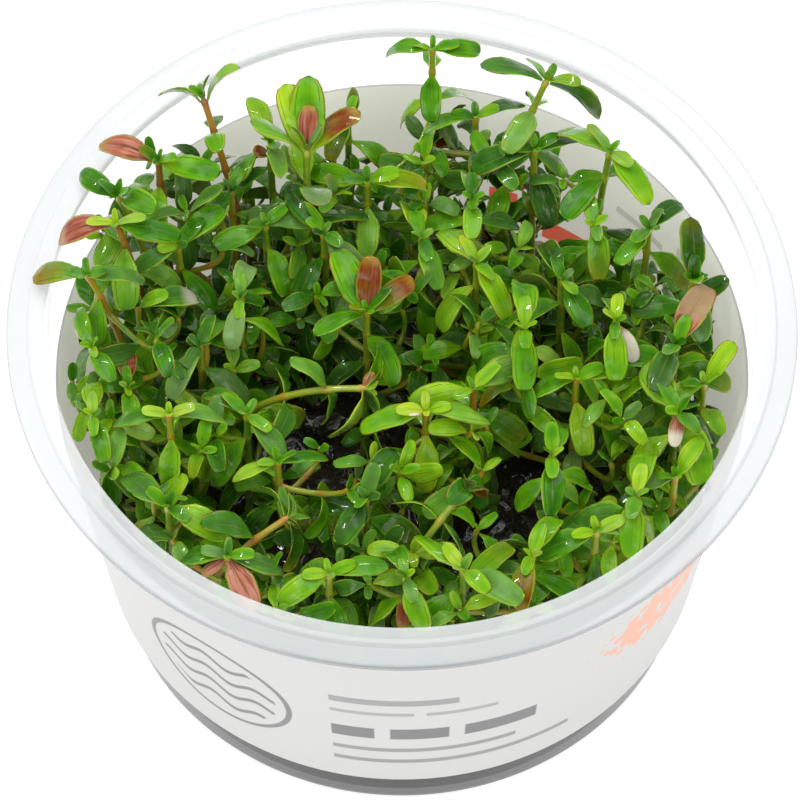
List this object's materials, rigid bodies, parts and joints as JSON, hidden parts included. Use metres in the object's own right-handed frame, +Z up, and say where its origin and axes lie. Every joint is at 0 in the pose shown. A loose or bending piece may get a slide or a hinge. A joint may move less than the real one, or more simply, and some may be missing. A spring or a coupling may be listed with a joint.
{
  "type": "potted rotala",
  "caption": "Rotala plantlets with small oval leaves in crossed pairs, rooted in dark gel in a clear wide-rimmed growing cup with a printed band.",
  "frame": {"origin": "centre of the cup's flat base, on the surface that it stands on", "axes": "+Z up out of the mouth, -Y towards the front of the label, +X to the right seen from the front"},
  "size_m": [0.0996, 0.0996, 0.0662],
  "materials": {
    "clear_plastic": "clear, slightly milky, moulded",
    "label_film": "satin printed film",
    "gel": "wet, glossy, lumpy",
    "leaf_fresh": "waxy, wet",
    "leaf_yellow": "waxy, wet",
    "leaf_olive": "waxy, wet",
    "leaf_deep": "waxy, wet"
  },
  "bodies": {
    "root": {"cup": "clear_plastic", "label": "label_film", "gel": "gel", "shoot_01": "leaf_olive", "shoot_02": "leaf_fresh", "shoot_03": "leaf_fresh", "shoot_04": "leaf_deep", "shoot_05": "leaf_fresh", "shoot_06": "leaf_fresh", "shoot_07": "leaf_yellow", "shoot_08": "leaf_olive", "shoot_09": "leaf_fresh", "shoot_10": "leaf_yellow", "shoot_11": "leaf_fresh", "shoot_12": "leaf_yellow", "shoot_13": "leaf_deep", "shoot_14": "leaf_olive", "shoot_15": "leaf_fresh", "shoot_16": "leaf_fresh", "shoot_17": "leaf_olive", "shoot_18": "leaf_deep", "shoot_19": "leaf_fresh", "shoot_20": "leaf_olive", "shoot_21": "leaf_fresh", "shoot_22": "leaf_deep", "shoot_23": "leaf_olive", "shoot_24": "leaf_deep", "shoot_25": "leaf_fresh", "shoot_26": "leaf_fresh", "shoot_27": "leaf_deep", "shoot_28": "leaf_olive", "shoot_29": "leaf_fresh", "shoot_30": "leaf_fresh", "shoot_31": "leaf_deep", "shoot_32": "leaf_fresh", "shoot_33": "leaf_fresh", "shoot_34": "leaf_deep", "shoot_35": "leaf_fresh", "shoot_36": "leaf_deep", "shoot_37": "leaf_deep", "shoot_38": "leaf_fresh", "shoot_39": "leaf_fresh", "shoot_40": "leaf_yellow", "shoot_41": "leaf_fresh", "shoot_42": "leaf_fresh", "shoot_43": "leaf_olive", "shoot_44": "leaf_fresh", "shoot_45": "leaf_yellow", "shoot_46": "leaf_fresh", "shoot_47": "leaf_deep", "shoot_48": "leaf_yellow", "shoot_49": "leaf_fresh", "shoot_50": "leaf_deep", "shoot_51": "leaf_fresh", "shoot_52": "leaf_deep", "shoot_53": "leaf_fresh", "shoot_54": "leaf_fresh", "shoot_55": "leaf_fresh", "shoot_56": "leaf_yellow", "shoot_57": "leaf_fresh"}
  },
  "joints": []
}
